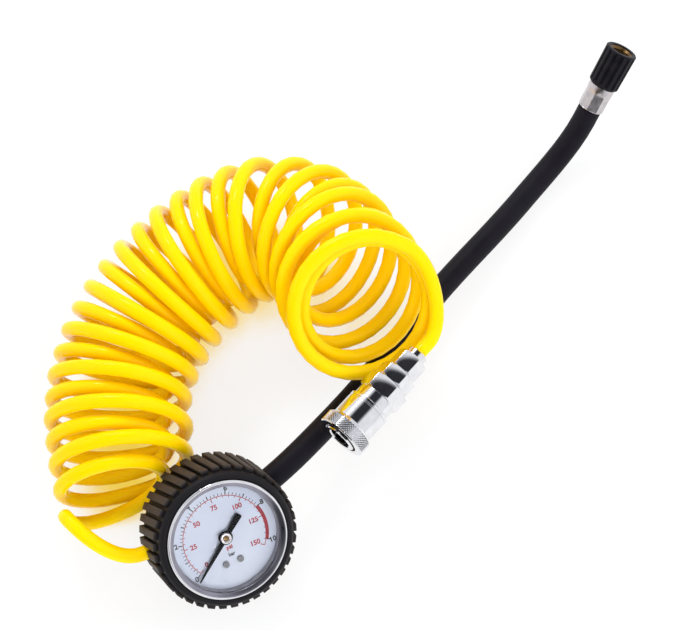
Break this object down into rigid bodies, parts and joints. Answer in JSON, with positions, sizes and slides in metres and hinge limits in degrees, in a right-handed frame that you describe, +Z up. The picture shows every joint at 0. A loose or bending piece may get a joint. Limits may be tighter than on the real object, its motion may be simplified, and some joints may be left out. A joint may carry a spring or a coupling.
{
  "type": "portable tire inflator",
  "caption": "Dial gauge in a tyre-tread rubber boot with a screw-on chuck on a whip hose and a yellow recoil air hose with quick coupler.",
  "frame": {"origin": "on the table, under the middle of the gauge in its boot", "axes": "+Z up; -Y the way out of the coupler mouth; the whip hose runs off along +Y and the curly hose lies on the -X side"},
  "size_m": [0.1704, 0.365, 0.0851],
  "materials": {
    "boot_rubber": "satin moulded rubber",
    "hose_rubber": "smooth satin",
    "seal_rubber": "matt",
    "yellow_tube": "glossy translucent",
    "chrome": "polished",
    "steel": "satin",
    "brass": "turned",
    "black_plastic": "satin",
    "dial": "printed white",
    "lens": "clear"
  },
  "bodies": {
    "gauge": {"boot": "boot_rubber", "whip_hose": "hose_rubber", "coil_hose": "yellow_tube", "gauge_case": "steel", "bezel": "chrome", "lens": "lens", "lens_gasket": "seal_rubber", "dial_plate": "dial", "dial_screw_1": "steel", "dial_screw_2": "steel", "movement_back_plate": "brass", "movement_front_plate": "brass", "movement_pillar_1": "brass", "movement_pillar_2": "brass", "socket": "brass", "bourdon_tube": "brass", "bourdon_tip": "brass", "hairspring": "steel", "manifold": "brass", "inlet_fitting": "brass", "outlet_fitting": "brass", "ferrule": "chrome", "chuck_stem": "brass", "chuck_seal": "seal_rubber", "chuck_pin": "brass", "hose_nut": "chrome", "coupler_adapter": "chrome", "coupler_body": "chrome", "sleeve_spring": "steel", "retaining_ring": "steel", "poppet_spring": "steel", "mouth_seal": "seal_rubber"},
    "pointer": {"pointer_arbor": "steel", "pointer": "black_plastic", "pointer_hub": "brass"},
    "sector": {"sector_gear": "brass"},
    "link": {"link": "brass"},
    "chuck": {"chuck_nut": "black_plastic", "chuck_insert": "brass"},
    "sleeve": {"coupler_sleeve": "chrome"},
    "ball_1": {"lock_ball_1": "steel"},
    "ball_2": {"lock_ball_2": "steel"},
    "ball_3": {"lock_ball_3": "steel"},
    "ball_4": {"lock_ball_4": "steel"},
    "poppet": {"valve_poppet": "brass"}
  },
  "joints": [
    {"name": "pointer_turn", "type": "hinge", "parent": "gauge", "child": "pointer", "pos_m": [0.00724, -0.00221, 0.0413], "axis": [-0.5871, 0.1806, -0.7891], "range_deg": [0, 243], "stiffness_Nm_per_rad": 0.0004, "springref_deg": -11.46},
    {"name": "sector_turn", "type": "hinge", "parent": "gauge", "child": "sector", "pos_m": [0.01527, -0.00692, 0.02712], "axis": [-0.5871, 0.1806, -0.7891], "range_deg": [-35, 0]},
    {"name": "link_turn", "type": "hinge", "parent": "sector", "child": "link", "pos_m": [0.0138, -0.00988, 0.02892], "axis": [-0.5871, 0.1806, -0.7891], "range_deg": [0, 35]},
    {"name": "chuck_spin", "type": "hinge", "parent": "gauge", "child": "chuck", "pos_m": [-0.01118, 0.30611, 0.04344], "axis": [-0.092, 0.7491, 0.6561], "continuous": true},
    {"name": "sleeve_slide", "type": "slide", "parent": "gauge", "child": "sleeve", "axis": [0, 1, 0], "range_m": [0, 0.005], "stiffness_N_per_m": 200, "springref_m": -0.003, "deforming": ["sleeve_spring"]},
    {"name": "ball_1_slide", "type": "slide", "parent": "gauge", "child": "ball_1", "axis": [1, 0, 0], "range_m": [0, 0.001]},
    {"name": "ball_2_slide", "type": "slide", "parent": "gauge", "child": "ball_2", "axis": [0, 0, 1], "range_m": [0, 0.001]},
    {"name": "ball_3_slide", "type": "slide", "parent": "gauge", "child": "ball_3", "axis": [-1, 0, 0], "range_m": [0, 0.001]},
    {"name": "ball_4_slide", "type": "slide", "parent": "gauge", "child": "ball_4", "axis": [0, 0, -1], "range_m": [0, 0.001]},
    {"name": "poppet_slide", "type": "slide", "parent": "gauge", "child": "poppet", "axis": [0, 1, 0], "range_m": [0, 0.004], "stiffness_N_per_m": 40, "springref_m": -0.004, "deforming": ["poppet_spring"]}
  ],
  "couplings": [
    {"joint": "sector_turn", "follows": "pointer_turn", "ratio": -0.14286},
    {"joint": "link_turn", "follows": "pointer_turn", "ratio": 0.14286},
    {"joint": "ball_1_slide", "follows": "sleeve_slide", "ratio": 0.2},
    {"joint": "ball_2_slide", "follows": "sleeve_slide", "ratio": 0.2},
    {"joint": "ball_3_slide", "follows": "sleeve_slide", "ratio": 0.2},
    {"joint": "ball_4_slide", "follows": "sleeve_slide", "ratio": 0.2}
  ]
}
